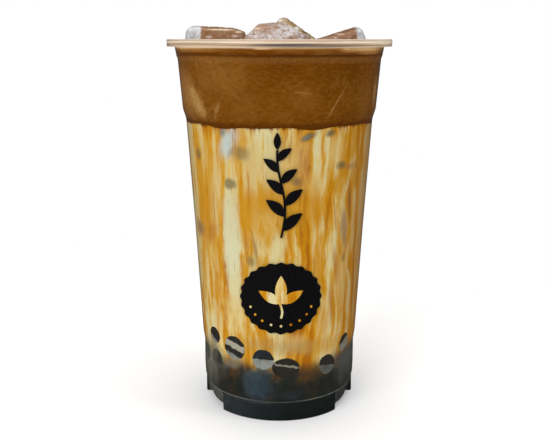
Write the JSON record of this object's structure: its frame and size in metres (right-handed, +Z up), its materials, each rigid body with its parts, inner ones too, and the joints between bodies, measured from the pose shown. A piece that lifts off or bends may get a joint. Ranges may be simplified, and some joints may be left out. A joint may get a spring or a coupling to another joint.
{
  "type": "bubble tea in a clear plastic cup",
  "caption": "Tall clear tapered cup with a flat rim and lobed foot, filled with tapioca pearls, streaked milk tea and brown foam, with ice standing over the rim.",
  "frame": {"origin": "on the cup's axis, at the surface that the cup stands on", "axes": "+Z up along the cup's axis, -Y towards the side shown in the picture, +X to the viewer's right"},
  "size_m": [0.095, 0.095, 0.169],
  "materials": {
    "clear_plastic": "clear, smooth and glossy",
    "foam": "soft cocoa-brown foam, slightly grainy",
    "milk_tea": "cream milk tea with streaks of brown sugar",
    "tapioca": "glossy black tapioca",
    "ice": "wet ice, coated brown by the foam",
    "print": "black ink"
  },
  "bodies": {
    "root": {"cup": "clear_plastic", "foam": "foam", "milk_tea": "milk_tea", "pearls": "tapioca", "ice_left": "ice", "ice_front": "ice", "ice_back": "ice", "ice_right": "ice"}
  },
  "joints": []
}
